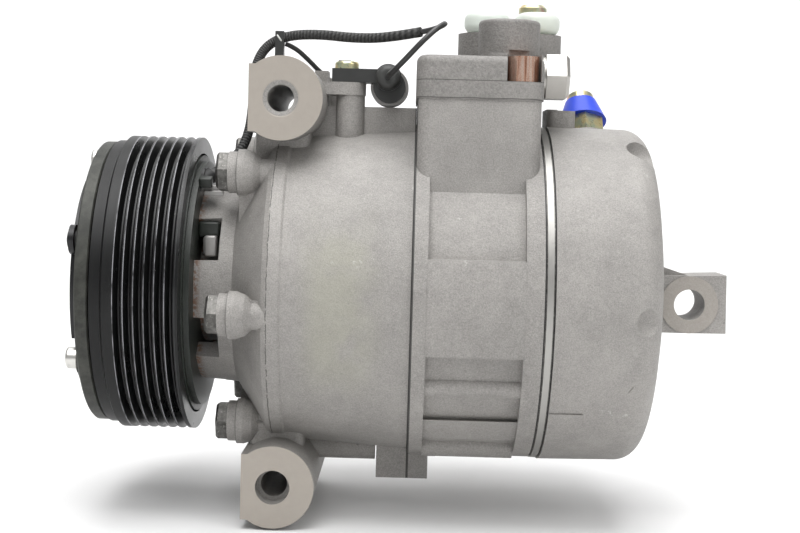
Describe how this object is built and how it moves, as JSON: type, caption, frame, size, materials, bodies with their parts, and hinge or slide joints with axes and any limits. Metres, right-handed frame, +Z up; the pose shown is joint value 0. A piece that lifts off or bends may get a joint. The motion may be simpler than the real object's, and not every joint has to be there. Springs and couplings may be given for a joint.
{
  "type": "automotive ac compressor",
  "caption": "Swash-plate air-conditioning compressor with a grooved clutch pulley, cast housings, cross-bored mounting ears and a port manifold on top.",
  "frame": {"origin": "on the shaft axis, in the centre plane of the six-groove belt track", "axes": "+X along the shaft from the clutch to the rear cover, +Z up through the port manifold, -Y the side seen from the front"},
  "size_m": [0.2391, 0.1252, 0.1927],
  "materials": {
    "cast_aluminium": "warm grey fine-grained casting, machined faces beige",
    "turned_aluminium": "turned",
    "bright_steel": "machined",
    "dark_steel": "dark phosphate",
    "black_paint": "satin black",
    "friction_steel": "satin dark grey",
    "copper_winding": "enamelled copper",
    "copper_plating": "bright copper plating",
    "yellow_zinc": "yellow zinc plating",
    "blue_plastic": "gloss blue",
    "clear_cap": "translucent pale green",
    "black_rubber": "matt",
    "black_plastic": "matt black",
    "grey_metal_ring": "dull grey",
    "braided_sleeve": "fine black braid",
    "wire_jacket": "black insulation"
  },
  "bodies": {
    "housing": {"front_housing": "cast_aluminium", "housing_o_ring": "black_rubber", "cylinder_housing": "cast_aluminium", "head_gaskets": "black_rubber", "suction_reeds": "dark_steel", "valve_plate": "bright_steel", "discharge_reeds": "dark_steel", "rear_housing": "cast_aluminium", "through_bolts": "dark_steel", "shaft_seal": "black_rubber", "front_needle_bearing": "bright_steel", "rear_needle_bearing": "bright_steel", "front_thrust_bearing": "bright_steel", "piston_1": "turned_aluminium", "piston_2": "turned_aluminium", "piston_3": "turned_aluminium", "piston_4": "turned_aluminium", "piston_5": "turned_aluminium", "piston_6": "turned_aluminium", "piston_7": "turned_aluminium", "piston_shoes": "bright_steel", "bearing_inner_race": "bright_steel", "bearing_snap_ring": "dark_steel", "coil_housing": "black_paint", "coil_winding": "copper_winding", "coil_snap_ring": "dark_steel", "manifold_plate": "cast_aluminium", "manifold_cover": "cast_aluminium", "manifold_bolt": "copper_plating", "clamp_stud": "yellow_zinc", "port_caps": "clear_cap", "relief_valve": "bright_steel", "service_valve": "yellow_zinc", "service_collar": "blue_plastic", "control_valve": "grey_metal_ring", "connector_body": "black_plastic", "connector_ring": "grey_metal_ring", "connector_grommet": "black_rubber", "connector_screw": "yellow_zinc", "lead_boot": "black_rubber", "lead_sleeve": "braided_sleeve", "lead_wire": "wire_jacket", "ground_lead": "wire_jacket", "lead_clip": "black_plastic", "ground_terminal": "bright_steel"},
    "pulley": {"pulley": "black_paint", "bearing_outer_race": "bright_steel", "bearing_balls": "bright_steel"},
    "shaft": {"drive_shaft": "bright_steel", "lug_plate": "dark_steel", "swash_plate": "dark_steel", "hinge_pin": "bright_steel", "return_spring": "dark_steel", "clutch_hub": "black_paint", "hub_bolt": "dark_steel", "hub_stops": "black_rubber", "leaf_springs": "dark_steel", "spring_rivets": "dark_steel"},
    "armature": {"armature_plate": "friction_steel", "armature_rivets": "bright_steel"}
  },
  "joints": [
    {"name": "pulley_spin", "type": "hinge", "parent": "housing", "child": "pulley", "pos_m": [0, 0, 0], "axis": [1, 0, 0], "continuous": true},
    {"name": "shaft_spin", "type": "hinge", "parent": "housing", "child": "shaft", "pos_m": [0, 0, 0], "axis": [1, 0, 0], "continuous": true},
    {"name": "armature_pull", "type": "slide", "parent": "shaft", "child": "armature", "axis": [1, 0, 0], "range_m": [0, 0.00055], "stiffness_N_per_m": 40000, "deforming": ["leaf_springs"]}
  ]
}
